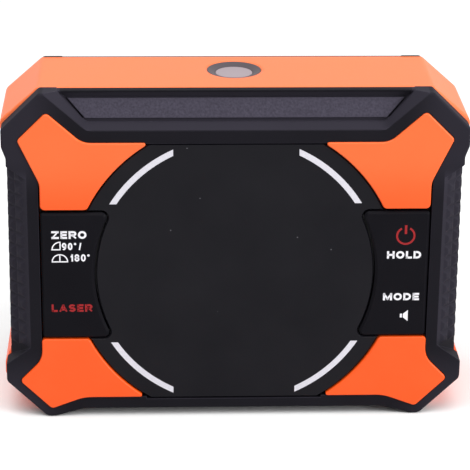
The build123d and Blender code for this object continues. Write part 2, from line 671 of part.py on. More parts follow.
def processor():
    """A flat chip with legs on four sides."""
    (x, z), half, leg_half, reach, legs = CHIP_AT, 4.5, 0.15, 5.4, 8
    body = slab(rect(x - half, z - half, x + half, z + half), BOARD_BACK + 0.1, BOARD_BACK + 1.4)
    for i in range(legs):
        along = i - (legs - 1) / 2
        up = rect(x + along - leg_half, z - reach, x + along + leg_half, z + reach)
        across = rect(x - reach, z + along - leg_half, x + reach, z + along + leg_half)
        body += slab(up, BOARD_BACK, BOARD_BACK + 0.3) + slab(across, BOARD_BACK, BOARD_BACK + 0.3)
    return body


def tilt_sensor():
    """A small square chip with a dot at one corner, on the board behind the dial's centre."""
    body = slab(rect(-2, -2, 2, 2), BOARD_BACK, BOARD_BACK + 1.0)
    return body - slab(disc_at(-1.3, 1.3, 0.3), BOARD_BACK + 0.9, BOARD_BACK + 2)


def buzzer():
    """A round sounder with a small hole in its face."""
    x, z = BUZZER_AT
    body = slab(disc_at(x, z, 4.5), BOARD_BACK, BOARD_BACK + 2.3)
    return body - slab(disc_at(x, z, 0.8), BOARD_BACK + 1.5, BOARD_BACK + 3)


# Laser

def turned(profile):
    """A profile of radius and height, turned about the laser's upright axis."""
    axis_plane = front_plane(LASER_DEEP)
    axis = Axis(axis_plane.origin, (0, 0, 1))
    return revolve(axis_plane * polygon(profile), axis)


BEZEL_BORE_R, BEZEL_FLANGE_R = 3.2, 6.5
FLANGE_LOW, FLANGE_HIGH = CASE_TOP - 3.4, CASE_TOP - 2.3


def laser_bezel():
    """A grey ring, flanged under the case's top wall, with a dished face."""
    return turned([
        (BEZEL_BORE_R, FLANGE_LOW), (BEZEL_FLANGE_R, FLANGE_LOW), (BEZEL_FLANGE_R, FLANGE_HIGH),
        (BEZEL_R, FLANGE_HIGH), (BEZEL_R, CASE_TOP), (BEZEL_R - 0.15, CASE_TOP),
        (DISC_R, CASE_TOP - DISC_DOWN), (DISC_R, BEZEL_SEAT), (BEZEL_BORE_R, BEZEL_SEAT),
    ])


def laser_window():
    """A clear disc in the ring's seat, with a small bevel."""
    low, high, r = BEZEL_SEAT, CASE_TOP - DISC_DOWN - 0.02, DISC_R - 0.03
    return turned([(0, low), (r, low), (r, high - 0.1), (r - 0.1, high), (0, high)])


def laser_barrel():
    """Brass tube with a stepped mouth."""
    bore, mouth = BARREL_BORE_R, BARREL_R - 0.4
    return turned([
        (bore, BARREL_LOW), (BARREL_R, BARREL_LOW), (BARREL_R, BARREL_STEP),
        (mouth, BARREL_STEP), (mouth, BARREL_HIGH), (bore, BARREL_HIGH),
    ])


def laser_lens():
    """A plano-convex lens in the mouth of the barrel."""
    body = turned([(0, LENS_LOW), (LENS_R, LENS_LOW), (LENS_R, LENS_RIM), (0, LENS_RIM)])
    dome = level_plane(LENS_DOME_UP) * Pos(0, LASER_DEEP) * Sphere(LENS_DOME_R)
    return body + (dome & tower(disc_at(0, LASER_DEEP, LENS_R), LENS_RIM, LENS_RIM + 2))


def laser_diode():
    """A can on a flange, with two pins below."""
    flange_r, can_r, pin_r = 3.0, 2.2, 0.25
    body = turned([
        (0, DIODE_LOW), (flange_r, DIODE_LOW), (flange_r, DIODE_FLANGE), (can_r, DIODE_FLANGE),
        (can_r, DIODE_HIGH), (0, DIODE_HIGH),
    ])
    for x in (-LEAD_X, LEAD_X):
        body += tower(disc_at(x, LASER_DEEP, pin_r), LASER_PIN_END, DIODE_LOW)
    return body


def laser_cradle():
    """A block that holds the barrel and hangs from two posts of the case."""
    plan = Pos(0, LASER_DEEP) * RectangleRounded(CRADLE_WIDE, CRADLE_ACROSS, 3.0)
    for x in CRADLE_XS:
        plan -= disc_at(x, LASER_DEEP, 1.1)
    plan -= disc_at(0, LASER_DEEP, BARREL_R + 0.03)
    return tower(plan, CRADLE_TOP - CRADLE_TALL, CRADLE_TOP)


# Cells and contacts

def cell(up, side):
    """One cell along X, its nub towards the given side."""
    end = side * (BAY_HALF_X - 0.5)
    place = Plane(origin=(end, CELL_DEEP - MID_DEPTH, DIAL_UP + up), z_dir=(-side, 0, 0))
    edge = 0.4
    profile = polygon([
        (0, 0), (NUB_R, 0), (NUB_R, NUB_TALL), (CELL_R - edge, NUB_TALL), (CELL_R, NUB_TALL + edge),
        (CELL_R, CELL_LONG - edge), (CELL_R - edge, CELL_LONG), (0, CELL_LONG),
    ])
    return place * revolve(Plane.XZ * profile, Axis.Z)


CONTACT_TALL, LEAF_TALL, CONTACT_BACK = 8.4, 5.0, 24.8


def contact_plates():
    """Flat contacts at the cells' nubs."""
    plates = []
    half, wall = CONTACT_TALL / 2, BAY_HALF_X - 0.05
    for up, side in zip(CELL_UPS, (1, -1)):
        view = rect(side * (wall - 0.4), up - half, side * wall, up + half)
        plates.append(slab(view, 16.0, CONTACT_BACK))
    return plates


def contact_springs():
    """Bent leaves that press on the cells' flat ends."""
    tip = CELL_LONG - BAY_HALF_X + 0.55
    root = BAY_HALF_X - 0.05
    leaf = [
        (root, 15.8), (tip, 20.2), (tip, 20.6), (root - 0.9, 24.6), (root - 0.6, 24.3),
        (tip + 0.5, 20.4), (root, 16.4),
    ]
    springs = []
    for up, side in zip(CELL_UPS, (-1, 1)):
        plan = polygon([(side * x, deep) for x, deep in leaf])
        plan += rect(side * (root - 0.35), 15.8, side * root, CONTACT_BACK)
        springs.append(tower(plan, up - LEAF_TALL / 2, up + LEAF_TALL / 2))
    return springs


# Base

def base_plate():
    """Aluminium sole with pockets for the magnets and countersunk holes."""
    body = slab(rect(-BASE_HALF_X, FOOT, BASE_HALF_X, BASE_TOP), BASE_FRONT, BASE_BACK)
    body = chamfer(body.faces().sort_by(Axis.Z)[0].edges(), 0.4)
    for x in MAGNET_XS:
        body -= tower(disc_at(x, BASE_MID, MAGNET_R + 0.05), FOOT - 1, FOOT + MAGNET_THICK + 0.1)
    mouth, bore = BASE_SCREW_HEAD_R + 0.2, BASE_SCREW_R + 0.2
    sink = revolve(Plane.XZ * polygon([
        (0, -1), (mouth, -1), (mouth, 0.1), (bore, 0.1 + mouth - bore), (bore, 5), (0, 5),
    ]), Axis.Z)
    for x in BASE_SCREW_XS:
        body -= level_plane(FOOT) * Pos(x, BASE_MID) * sink
    return body


def base_magnets():
    """Three discs, a hair below the base's face."""
    discs = []
    for x in MAGNET_XS:
        body = tower(disc_at(x, BASE_MID, MAGNET_R), FOOT + 0.05, FOOT + MAGNET_THICK)
        discs.append(chamfer(body.edges().sort_by(Axis.Z)[0], 0.2))
    return discs


# Leads

def lead(points, radius):
    """A wire along straight runs of (X, depth, up), joined by an arc at each turn."""
    path = [Vector(x, deep - MID_DEPTH, DIAL_UP + up) for x, deep, up in points]
    route = FilletPolyline(*path, radius=2.3)
    start = Plane(origin=route @ 0, z_dir=route % 0)
    return sweep(start * Circle(radius), path=route)


def battery_leads():
    """Two wires from the walls of the bay to the board."""
    near, far, deep = BAY_HALF_X + BAY_WALL + 0.02, 31.8, 20.0
    return [lead([(s * near, deep, BAY_UP), (s * far, deep, BAY_UP), (s * far, BOARD_BACK, BAY_UP)],
                 0.38) for s in SIDES]


def laser_leads():
    """Two wires from the laser's pins to the board."""
    deep, high, low = LASER_DEEP, LASER_PIN_END, LASER_LEAD_LOW
    return [lead([(x, deep, high), (x, deep, low), (x, BOARD_BACK, low)], 0.35)
            for x in (-LEAD_X, LEAD_X)]


# Every piece

PIECES = {
    "case": case,
    "front_bumper": front_bumper,
    "rear_cover": rear_cover,
    "battery_door": battery_door,
    "case_screws": case_screws,
    "display_window": display_window,
    "dial_arcs": dial_arcs,
    "window_gasket": window_gasket,
    "right_key": right_key,
    "left_key": lambda: mirror(right_key(), about=Plane.YZ),
    "lcd_panel": lcd_panel,
    "lcd_frame": lcd_frame,
    "contact_strips": contact_strips,
    "main_board": main_board,
    "board_screws": board_screws,
    "key_switches": key_switches,
    "processor": processor,
    "tilt_sensor": tilt_sensor,
    "buzzer": buzzer,
    "laser_bezel": laser_bezel,
    "laser_window": laser_window,
    "laser_barrel": laser_barrel,
    "laser_lens": laser_lens,
    "laser_diode": laser_diode,
    "laser_cradle": laser_cradle,
    "cradle_screws": cradle_screws,
    "cell_upper": lambda: cell(CELL_UPS[0], 1),
    "cell_lower": lambda: cell(CELL_UPS[1], -1),
    "contact_plates": contact_plates,
    "contact_springs": contact_springs,
    "battery_leads": battery_leads,
    "laser_leads": laser_leads,
    "base_plate": base_plate,
    "base_magnets": base_magnets,
    "base_screws": base_screws,
}


def group(shape):
    """One shape for a node: a list of pieces becomes a group of separate solids."""
    if isinstance(shape, (list, tuple)):
        return Compound(children=[solid for piece in shape for solid in piece.solids()])
    return shape


for node, make in PIECES.items():
    export_step(group(make()), f"parts/{node}.step")
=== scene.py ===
# %% [markdown]
# # A pocket digital level
# The object is a hand-held digital level. An orange moulded case sits between two black
# frames. A round dark window fills the front, with one rocker key at each side of it, and a
# laser looks out through the top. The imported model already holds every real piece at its
# real size, so this script never moves one. It adds the camera and the light, works out a
# finish for each piece, and makes what is too fine for the model, such as the printed words.
# Lengths are in metres: X runs to the right, Y from the dial to the back, and Z up.

from math import cos, pi, sin

import bpy
import numpy as np
from mathutils import Matrix, Vector


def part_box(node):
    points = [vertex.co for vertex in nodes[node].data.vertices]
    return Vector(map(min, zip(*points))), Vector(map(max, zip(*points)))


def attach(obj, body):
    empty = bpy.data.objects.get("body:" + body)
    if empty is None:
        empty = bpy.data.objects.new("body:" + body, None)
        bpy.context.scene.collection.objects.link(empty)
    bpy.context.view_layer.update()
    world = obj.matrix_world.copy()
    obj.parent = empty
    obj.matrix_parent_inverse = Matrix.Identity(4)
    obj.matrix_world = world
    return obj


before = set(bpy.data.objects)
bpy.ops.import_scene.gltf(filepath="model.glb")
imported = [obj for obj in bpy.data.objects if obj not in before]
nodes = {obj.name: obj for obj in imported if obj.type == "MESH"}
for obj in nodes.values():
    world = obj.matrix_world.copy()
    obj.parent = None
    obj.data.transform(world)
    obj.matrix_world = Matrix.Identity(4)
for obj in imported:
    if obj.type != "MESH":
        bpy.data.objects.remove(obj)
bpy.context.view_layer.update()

# %% [markdown]
# ## A ruler for the dial
# A maker of such a tool measures everything from the middle of the dial, in millimetres: to
# the right, back from the front face, and up. Two boxes of the model give that place, so
# no position has to be copied here by hand. `spot` turns such a measure into metres.

# %% Measure from the middle of the dial
MM = 0.001
window_low, window_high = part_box("display_window")
DIAL_UP = (window_low.z + window_high.z) / 2
FRONT_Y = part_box("front_bumper")[0].y


def spot(right, back, up):
    """The point, in metres, at these millimetres from the dial's middle on the front face."""
    return Vector((right * MM, FRONT_Y + back * MM, DIAL_UP + up * MM))


print(f"the dial's middle is {DIAL_UP / MM:.2f} mm above the table")

# %% [markdown]
# ## The camera
# The level was photographed from a little above, with a long lens. A long lens keeps the
# upright sides almost parallel, so the distance matters as much as the angle. The numbers
# come from fitting a camera to the straight edges of the front and to the arcs of the dial.
# The camera's own axes are built as the columns of a matrix, so nothing has to be aimed.

# %% Place the camera
PICTURE_SIDE = 470
SENSOR_MM = 36.0
FOCAL_PIXELS = 2110.8
LOOK_DOWN, TURN, ROLL = 0.3820, 0.0422, 0.0103
CAMERA_AWAY = 446.185
LOOK_AT = spot(-0.128, 0.0, 8.923)

ahead = Vector((sin(TURN) * cos(LOOK_DOWN), cos(TURN) * cos(LOOK_DOWN), -sin(LOOK_DOWN)))
level_right = Vector((cos(TURN), -sin(TURN), 0.0))
level_up = level_right.cross(ahead)
camera_right = cos(ROLL) * level_right + sin(ROLL) * level_up
camera_up = cos(ROLL) * level_up - sin(ROLL) * level_right

camera_data = bpy.data.cameras.new("camera")
camera_data.sensor_width = SENSOR_MM
camera_data.lens = FOCAL_PIXELS * SENSOR_MM / PICTURE_SIDE
camera = bpy.data.objects.new("camera", camera_data)
bpy.context.scene.collection.objects.link(camera)
camera.matrix_world = Matrix.Translation(LOOK_AT - CAMERA_AWAY * MM * ahead) @ Matrix(
    (camera_right, camera_up, -ahead)
).transposed().to_4x4()
bpy.context.scene.camera = camera
bpy.context.scene.view_settings.view_transform = "Standard"
print(f"a {camera_data.lens:.0f} mm lens, {CAMERA_AWAY / 1000:.2f} m away")

# %% [markdown]
# ## Shader sums written as sums
# A material is a net of small nodes, and wiring them by hand hides the idea. This class wraps
# one output socket. Adding or multiplying two of them adds the Math node that does it, so a
# pattern reads as the formula that it is. `node` adds any other kind of node.

# %% A socket that can be added and multiplied
class Signal:
    """An output socket of a node tree, with sums that become Math nodes."""

    def __init__(self, tree, socket=None):
        self.tree = tree
        self.socket = socket

    def node(self, kind, settings=None, inputs=None, output=0):
        """Add a node: its settings first, then the values or links of its sockets."""
        made = self.tree.nodes.new(kind)
        for name, value in (settings or {}).items():
            setattr(made, name, value)
        for name, value in (inputs or {}).items():
            if isinstance(value, Signal):
                self.tree.links.new(value.socket, made.inputs[name])
            else:
                made.inputs[name].default_value = value
        return Signal(self.tree, made.outputs[output])

    def math(self, operation, first, second=0.0):
        return self.node("ShaderNodeMath", {"operation": operation}, {0: first, 1: second})

    def __add__(self, other):
        return self.math("ADD", self, other)

    def __sub__(self, other):
        return self.math("SUBTRACT", self, other)

    def __rsub__(self, other):
        return self.math("SUBTRACT", other, self)

    def __mul__(self, other):
        return self.math("MULTIPLY", self, other)

    __radd__ = __add__
    __rmul__ = __mul__

    def above(self, low, high):
        """0 below low, 1 above high, and a smooth step between them."""
        return self.node("ShaderNodeMapRange", {"interpolation_type": "SMOOTHSTEP"},
                         {"Value": self, "From Min": low, "From Max": high})

    def size(self):
        return self.math("ABSOLUTE", self)

    def axis(self, name):
        """One coordinate of a vector signal."""
        return self.node("ShaderNodeSeparateXYZ", inputs={"Vector": self}, output=name)

    def stretched(self, x, y, z):
        """A vector signal with each coordinate multiplied by its own number."""
        return self.node("ShaderNodeVectorMath", {"operation": "MULTIPLY"},
                         {0: self, 1: (x, y, z)})

    def blend(self, first, second):
        """This signal as a share: 0 gives the first colour and 1 the second."""
        return self.node("ShaderNodeMix", {"data_type": "RGBA"},
                         {0: self, 6: first, 7: second}, output=2)


# %% [markdown]
# ## Patterns that every moulded skin needs
# Plastic and rubber copy the steel mould that they were pressed in, so each has a fine grain.
# Their edges are painted paler: partly wear from a pocket, partly a painted edge highlight.
# Grain is noise at the size of the real grain. The pale edge is found with a Bevel node: its
# rounded normal leans away from the true normal only close to an edge. Both read Object
# coordinates, which here are metres on the real thing.

# %% Noise, grain and edges
BEVEL_SAMPLES = 6
LEAN = 0.02, 0.2        # how far a normal leans where an edge begins, and where it is full


def screen(red, green, blue):
    """Turn screen levels from 0 to 255 into the linear colour that a shader takes."""
    level = np.array([red, green, blue]) / 255
    linear = np.where(level <= 0.04045, level / 12.92, ((level + 0.055) / 1.055) ** 2.4)
    return (*linear.tolist(), 1.0)


def clouds(where, size_mm, detail=2.0):
    """Noise from 0 to 1 whose patches are about this many millimetres across."""
    return where.node("ShaderNodeTexNoise", None,
                      {"Vector": where, "Scale": 1000 / size_mm, "Detail": detail})


def soft_normal(where, radius_mm):
    """The surface normal as if every edge had this radius, which may vary over the piece."""
    return where.node("ShaderNodeBevel", {"samples": BEVEL_SAMPLES}, {"Radius": radius_mm * MM})


def edge_share(where, radius_mm):
    """Near 1 along an edge and 0 on an open face: how far the soft normal leans."""
    true = where.node("ShaderNodeNewGeometry", output="Normal")
    lean = where.node("ShaderNodeVectorMath", {"operation": "DOT_PRODUCT"},
                      {0: soft_normal(where, radius_mm), 1: true}, output="Value")
    return (1 - lean).above(*LEAN)


def raised(where, height, depth_mm, radius_mm):
    """A normal from a height pattern of this depth, on edges of this radius."""
    return where.node("ShaderNodeBump", None, {
        "Strength": 1.0, "Distance": depth_mm * MM, "Height": height,
        "Normal": soft_normal(where, radius_mm),
    })


def new_finish(name, sockets, patterns):
    """A material: plain numbers on the shader's sockets, and patterns linked to them."""
    material = bpy.data.materials.new(name)
    material.use_nodes = True
    tree = material.node_tree
    shader = tree.nodes["Principled BSDF"]
    for socket, value in sockets.items():
        shader.inputs[socket].default_value = value
    where = Signal(tree).node("ShaderNodeTexCoord", output="Object")
    for socket, signal in patterns(where).items():
        tree.links.new(signal.socket, shader.inputs[socket])
    return material


# %% [markdown]
# ## Orange case
# The case is one glossy-satin moulding in a strong orange. From a step away it looks flat,
# but light from above washes its top out, and its edges look paler. A Principled shader
# with a plain gloss gives part of the washed top by itself, because gloss grows at a low
# angle. The pattern paints the rest of the wash into the colour by height, as painted light.
# It adds the fine grain and faint flow marks, and paler edges that are partly wear and partly
# a painted edge highlight. Where the band meets the frames its edge is rounder, so the soft
# normal takes a larger radius there. The wall behind the window and the keys is painted
# black as painted shade, so the gaps between them read as shadow and no orange shows there.

# %% The orange plastic
FADE = 0.05 * MM        # half the width over which a mark's edge fades
BAND_FROM, MASK_FROM = 4.4, 1.3
MASK_RIGHT, MASK_UP, MASK_FADE = 41.35, 29.3, 0.1
BAND_WASH = -2 * MM, 40 * MM        # where the wash begins and is full, from the dial's middle
FRONT_WASH = 13 * MM, 27 * MM


def height(where):
    """How far a point is above the dial's middle, in metres."""
    return where.axis("Z") - DIAL_UP


def deeper_than(where, back_mm):
    """1 further back than this behind the front face, and 0 in front of it."""
    edge = FRONT_Y + back_mm * MM
    return where.axis("Y").above(edge - FADE, edge + FADE)


def painted_gap_shade(where):
    """1 on the case's front wall, inside the opening of the front frame, where black is painted
    as the shade of the gaps.
    """
    across = where.axis("X").size().above(MASK_RIGHT * MM, (MASK_RIGHT + MASK_FADE) * MM)
    up = height(where).size().above(MASK_UP * MM, (MASK_UP + MASK_FADE) * MM)
    return deeper_than(where, MASK_FROM) * (1 - deeper_than(where, BAND_FROM)) * (
        1 - across) * (1 - up)


def orange_patterns(where):
    """Flow marks 9 mm wide, a painted wash of light by height and paler edges (wear and a
    painted highlight) tint the colour, and 0.3 mm grain gives the satin.
    """
    flow = clouds(where, 9.0, 3.0)
    grain = clouds(where, 0.3)
    # Paler edges: partly wear, partly a painted edge highlight.
    worn_highlit_edge = edge_share(where, 0.35)
    up = height(where)
    band = deeper_than(where, BAND_FROM)
    # The wash is painted light: paler towards the top, where the lamp above falls.
    wash = band * up.above(*BAND_WASH) * 0.52 + (1 - band) * up.above(*FRONT_WASH) * 0.3
    tint = (flow * 0.12 + wash + worn_highlit_edge * 0.4).blend(screen(255, 83, 0), screen(255, 139, 82))
    return {
        # Painted shade: black on the wall behind the window and keys, so the gaps look shadowed.
        "Base Color": painted_gap_shade(where).blend(tint, screen(12, 12, 14)),
        "Roughness": 0.34 + flow * 0.08 + grain * 0.06,
        "Normal": raised(where, grain, 0.006, 0.2 + band * 1.2),
    }


orange = new_finish("orange_plastic", {"Specular IOR Level": 0.38}, orange_patterns)

# %% [markdown]
# ## Black rubber frames
# The front frame is a dense black rubber with a hint of violet, matt on its front face. The
# leaning panel in its top bar has a coarse grain, and its colour is painted paler in coarse
# flecks: painted light, for a panel that faces up towards the lamp. The recess round that
# panel, the side grips and the four corners are painted a little paler too: painted light on
# faces that turn up or aside towards the lamps, and a painted sheen on the corners. Each of
# these places is found by plain heights and widths.

# %% The black rubber
# Three areas of the top bar: low and high edge, half width at the low one, slope of the sides.
PANEL = 34.35, 38.35, 31.4, 0.9
RIM = 39.5, 41.0, 36.0, 0.9
RECESS = 32.3, 41.0, 31.1, 1.12
RIM_FROM = 2.6
GRIP_FROM, GRIP_FADE = 43.7 * MM, 0.2 * MM
GRIP_FOOT, GRIP_TOP = (-18 * MM, -15 * MM), (21 * MM, 24 * MM)
CORNER_OUT, CORNER_UP = (34 * MM, 44 * MM), (16 * MM, 27 * MM)


def inside_slants(where, low, high, half_low, slope):
    """1 between two heights and between two slanting sides, and 0 outside them.

    At height z the sides are half_low + slope (z - low) from the middle, in millimetres.
    """
    up = height(where)
    out = where.axis("X").size() - slope * up - (half_low - slope * low) * MM
    return (up.above(low * MM - FADE, low * MM + FADE)
            * (1 - up.above(high * MM - FADE, high * MM + FADE)) * (1 - out.above(-FADE, FADE)))


def on_grips(where):
    """1 on the side grips and their knobs, which slope outwards as they run back."""
    back = where.axis("Y") - FRONT_Y
    out = where.axis("X").size() - back - GRIP_FROM
    up = height(where)
    return out.above(0.0, GRIP_FADE) * up.above(*GRIP_FOOT) * (1 - up.above(*GRIP_TOP))


def on_corners(where):
    """1 in the four corners of the frame, from a smooth start on its sides."""
    out = where.axis("X").size()
    return out.above(*CORNER_OUT) * height(where).size().above(*CORNER_UP)


def rubber_patterns(where):
    """Fine and coarse grain, painted light on the panel, recess, grips and corners, and paler
    edges that are wear and a painted highlight.
    """
    fine = clouds(where, 0.25)
    coarse = clouds(where, 0.45, 4.0)
    dust = clouds(where, 14.0, 4.0)
    panel = inside_slants(where, *PANEL)
    rim = inside_slants(where, *RIM) * deeper_than(where, RIM_FROM)
    recess = inside_slants(where, *RECESS) * (1 - rim)
    corner = (1 - recess) * on_corners(where)
    worn_highlit_edge = edge_share(where, 0.2) * (1 - rim)
    # Painted light on the recess, grips, corners and panel flecks, painted highlight with wear
    # on edges, and faint dust.
    share = (worn_highlit_edge * 0.5 + recess * 0.24 + panel * coarse * 0.84 + on_grips(where) * 0.2
             + corner * 0.16 + dust * 0.06)
    return {
        "Base Color": share.blend(screen(20, 19, 24), screen(80, 76, 90)),
        "Roughness": 0.55 + fine * 0.1 + dust * 0.08 - worn_highlit_edge * 0.1,
        "Normal": raised(where, fine * (1 - panel) * 0.35 + coarse * panel, 0.03, 0.25),
    }


rubber = new_finish("black_rubber", {"Specular IOR Level": 0.06}, rubber_patterns)

# %% [markdown]
# ## Other black mouldings
# The rear shell, the battery door, the keys and the parts inside are harder plastics. They
# differ in shade, in gloss and in the size of their grain, so one function makes them all.

# %% A family of plain mouldings
def moulding(name, colour, pale, roughness, grain_mm, grain_deep, specular=0.5):
    """A moulded plastic: grain of a given size and depth, and paler along its edges, partly from
    wear and partly as a painted edge highlight.
    """
    def patterns(where):
        grain = clouds(where, grain_mm, 3.0)
        cloud = clouds(where, 11.0, 3.0)
        # Paler edges: wear plus a painted edge highlight.
        tint = (edge_share(where, 0.25) * 0.6 + cloud * 0.2).blend(colour, pale)
        return {
            "Base Color": tint,
            "Roughness": roughness - 0.04 + cloud * 0.06 + grain * 0.06,
            "Normal": raised(where, grain, grain_deep, 0.2),
        }
    return new_finish(name, {"Specular IOR Level": specular}, patterns)


rear_plastic = moulding("rear_plastic", screen(19, 19, 22), screen(50, 50, 54),
                        0.55, 0.5, 0.02, specular=0.3)
door_plastic = moulding("door_plastic", screen(22, 22, 25), screen(54, 54, 58),
                        0.5, 0.45, 0.02, specular=0.3)
key_plastic = moulding("key_plastic", screen(12, 11, 16), screen(38, 37, 43),
                       0.45, 0.22, 0.004, specular=0.05)
grey_ring = moulding("grey_ring", screen(75, 68, 73), screen(102, 93, 99),
                     0.45, 0.3, 0.003, specular=0.22)
inner_black = moulding("inner_black", screen(30, 30, 32), screen(52, 52, 54), 0.5, 0.3, 0.004)
white_plastic = moulding("white_plastic", screen(228, 228, 224), screen(238, 238, 236),
                         0.4, 0.4, 0.004)
red_lead = moulding("red_lead", screen(170, 24, 22), screen(190, 60, 52), 0.45, 0.6, 0.004)
black_lead = moulding("black_lead", screen(24, 24, 24), screen(44, 44, 44), 0.45, 0.6, 0.004)
foam = moulding("black_foam", screen(20, 20, 20), screen(38, 38, 38), 0.9, 0.35, 0.08)

# %% [markdown]
# ## The smoked window
# The window is a dark, almost opaque sheet, glossy but not a mirror. What gives it away in a
# picture is not a colour but a few specks of dust. Each cell of a Voronoi pattern holds one
# possible speck, and only cells whose own random number is high show theirs. The sheet's
# bevelled rim is painted a little paler: partly wear, partly a painted edge highlight.

# %% Smoked window with dust
def dust_specks(where, apart_mm, radius_mm, kept):
    """Small dots, one in each Voronoi cell, kept only where the cell's number is high."""
    scale = 1000 / apart_mm
    near = where.node("ShaderNodeTexVoronoi", None, {"Vector": where, "Scale": scale})
    number = where.node("ShaderNodeTexVoronoi", None, {"Vector": where, "Scale": scale},
                        output="Color").axis("X")
    reach = radius_mm / apart_mm
    return (1 - near.above(0.6 * reach, reach)) * number.above(1 - kept, 1.001 - kept)


def window_patterns(where):
    """A nearly black sheet: specks lift the colour and dull the gloss."""
    specks = dust_specks(where, apart_mm=3.4, radius_mm=0.16, kept=0.25)
    haze = clouds(where, 16.0, 3.0)
    # The rim's paleness is partly wear and partly a painted edge highlight.
    pale = specks * 0.7 + haze * 0.04 + edge_share(where, 0.25) * 0.12
    return {
        "Base Color": pale.blend(screen(10, 9, 16), screen(120, 118, 124)),
        "Roughness": 0.16 + haze * 0.06 + specks * 0.5,
    }


smoked = new_finish("smoked_window", {"Specular IOR Level": 0.1}, window_patterns)

# %% [markdown]
# ## Ink, metals and the small parts
# Printed ink is a thin matt film with a slightly uneven edge and shade. The base is milled
# aluminium: its cutter leaves fine lines along the length, which stretched noise gives.
# Nickel, zinc and black screws differ only in colour and gloss.

# %% Ink and metals
def ink(name, colour, shade):
    """Printed ink, with a faint unevenness 0.5 mm wide."""
    def patterns(where):
        cover = clouds(where, 0.5, 3.0)
        return {"Base Color": cover.blend(shade, colour), "Roughness": 0.45 + cover * 0.15}
    return new_finish(name, {"Specular IOR Level": 0.4}, patterns)


def metal(name, colour, roughness, line_stretch, line_mm, line_deep):
    """A bare metal with fine lines: noise stretched by three numbers along X, Y and Z."""
    def patterns(where):
        lines = clouds(where.stretched(*line_stretch), line_mm, 3.0)
        stain = clouds(where, 7.0, 3.0)
        dark = tuple(0.8 * part for part in colour[:3]) + (1.0,)
        return {
            "Base Color": (stain * 0.5 + lines * 0.3).blend(dark, colour),
            "Roughness": roughness - 0.05 + lines * 0.14,
            "Normal": raised(where, lines, line_deep, 0.15),
        }
    return new_finish(name, {"Metallic": 1.0}, patterns)


white_ink = ink("white_ink", screen(226, 224, 232), screen(206, 204, 214))
key_ink = ink("key_ink", screen(246, 245, 250), screen(232, 231, 237))
red_ink = ink("red_ink", screen(168, 8, 16), screen(134, 6, 14))
milled = metal("milled_aluminium", screen(196, 198, 202), 0.32, (0.04, 1.0, 1.0), 0.25, 0.004)
nickel = metal("nickel", screen(206, 203, 198), 0.24, (1.0, 1.0, 1.0), 0.6, 0.003)
zinc = metal("zinc_plate", screen(190, 192, 198), 0.3, (1.0, 1.0, 1.0), 0.4, 0.004)
black_oxide = metal("black_oxide", screen(58, 58, 62), 0.38, (1.0, 1.0, 1.0), 0.4, 0.004)
brass = metal("turned_brass", screen(222, 184, 108), 0.28, (1.0, 1.0, 0.1), 0.3, 0.004)

# %% [markdown]
# ## Glass, laminate and cells
# The pane over the laser is a frosted, faintly rosy disc. The board is a green laminate with
# a fine weave under its lacquer. The cells wear a plain dark jacket that is paler towards
# both ends. Woven and layered stuff comes from a Wave texture, whose waves are 314 mm long
# over its scale.

# %% Pane, board and cells
WEAVE_SCALE, LAYER_SCALE = 600.0, 1500.0
JACKET_PALE = 14.0 * MM, 14.2 * MM


def waves(where, direction, scale):
    """Even waves from 0 to 1 that follow one another along an axis."""
    return where.node("ShaderNodeTexWave", {"bands_direction": direction},
                      {"Vector": where, "Scale": scale})


def pane_patterns(where):
    """A milky disc with a very slight ripple."""
    ripple = clouds(where, 1.2)
    return {
        "Base Color": ripple.blend(screen(139, 122, 130), screen(151, 134, 142)),
        "Roughness": 0.3 + ripple * 0.1,
    }


def board_patterns(where):
    """Green lacquer over a 0.5 mm weave of glass threads, seen as crossing waves."""
    weave = waves(where, "X", WEAVE_SCALE) * 0.5 + waves(where, "Z", WEAVE_SCALE) * 0.5
    return {
        "Base Color": weave.blend(screen(16, 84, 52), screen(26, 104, 66)),
        "Roughness": 0.3 + weave * 0.1,
    }


def jacket_patterns(where):
    """A dark jacket, paler from a sharp line to each end."""
    pale = where.axis("X").size().above(*JACKET_PALE)
    shine = clouds(where, 5.0)
    return {
        "Base Color": pale.blend(screen(52, 58, 66), screen(176, 150, 90)),
        "Roughness": 0.25 + shine * 0.1,
    }


pane = new_finish("laser_pane", {"Specular IOR Level": 0.5, "Coat Weight": 0.3}, pane_patterns)
board = new_finish("board_laminate", {}, board_patterns)
jacket = new_finish("cell_jacket", {"Metallic": 0.6}, jacket_patterns)


# %% Display, contact strips and lens
def lcd_patterns(where):
    """Grey-green display glass with the faint columns of its segments."""
    columns = clouds(where.stretched(1.0, 1.0, 0.2), 2.0)
    return {"Base Color": columns.blend(screen(96, 104, 92), screen(110, 118, 104))}


def strip_patterns(where):
    """Pink rubber crossed by dark conducting layers 0.2 mm apart."""
    layers = waves(where, "X", LAYER_SCALE)
    return {"Base Color": layers.blend(screen(60, 48, 50), screen(170, 120, 126))}


def lens_patterns(where):
    """Clear glass with a trace of unevenness in its polish."""
    return {"Roughness": clouds(where, 2.0) * 0.05}


display = new_finish("display_glass", {"Roughness": 0.12}, lcd_patterns)
strip_rubber = new_finish("strip_rubber", {"Roughness": 0.6}, strip_patterns)
lens = new_finish("lens_glass", {"Transmission Weight": 1.0, "IOR": 1.52}, lens_patterns)

# %% [markdown]
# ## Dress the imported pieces
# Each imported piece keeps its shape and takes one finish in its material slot.

